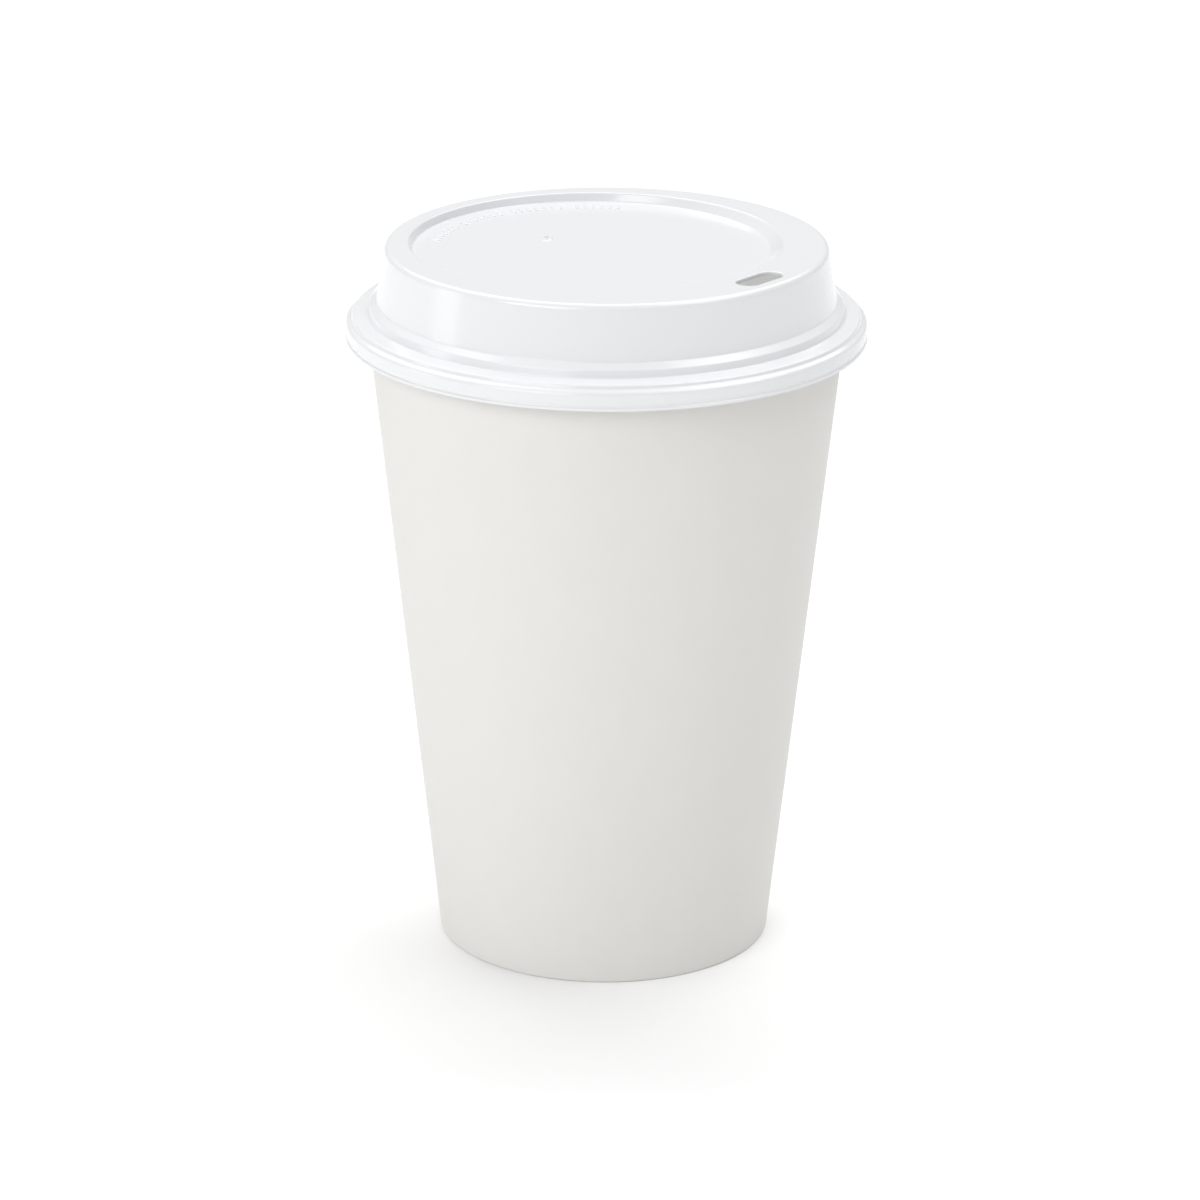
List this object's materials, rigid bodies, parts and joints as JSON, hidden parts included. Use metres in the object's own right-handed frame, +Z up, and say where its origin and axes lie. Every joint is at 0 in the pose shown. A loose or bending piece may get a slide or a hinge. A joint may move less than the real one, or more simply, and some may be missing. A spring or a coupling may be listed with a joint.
{
  "type": "paper cup with lid",
  "caption": "Tapered paper cup with a rolled rim, a lapped side seam and a recessed bottom, closed by a domed plastic lid with a drinking hole and a vent.",
  "frame": {"origin": "on the table, under the middle of the cup", "axes": "+Z up along the axis of the cup, -Y towards the drinking hole of the lid, +Y towards the glued side seam"},
  "size_m": [0.0926, 0.0926, 0.1289],
  "materials": {
    "cup_board": "matte",
    "lid_sheet": "gloss"
  },
  "bodies": {
    "cup": {"cup_sidewall": "cup_board", "cup_bottom": "cup_board"},
    "lid": {"lid": "lid_sheet"}
  },
  "joints": [
    {"name": "lid_lift", "type": "slide", "parent": "cup", "child": "lid", "axis": [0, 0, 1], "range_m": [0, 0.06]}
  ]
}
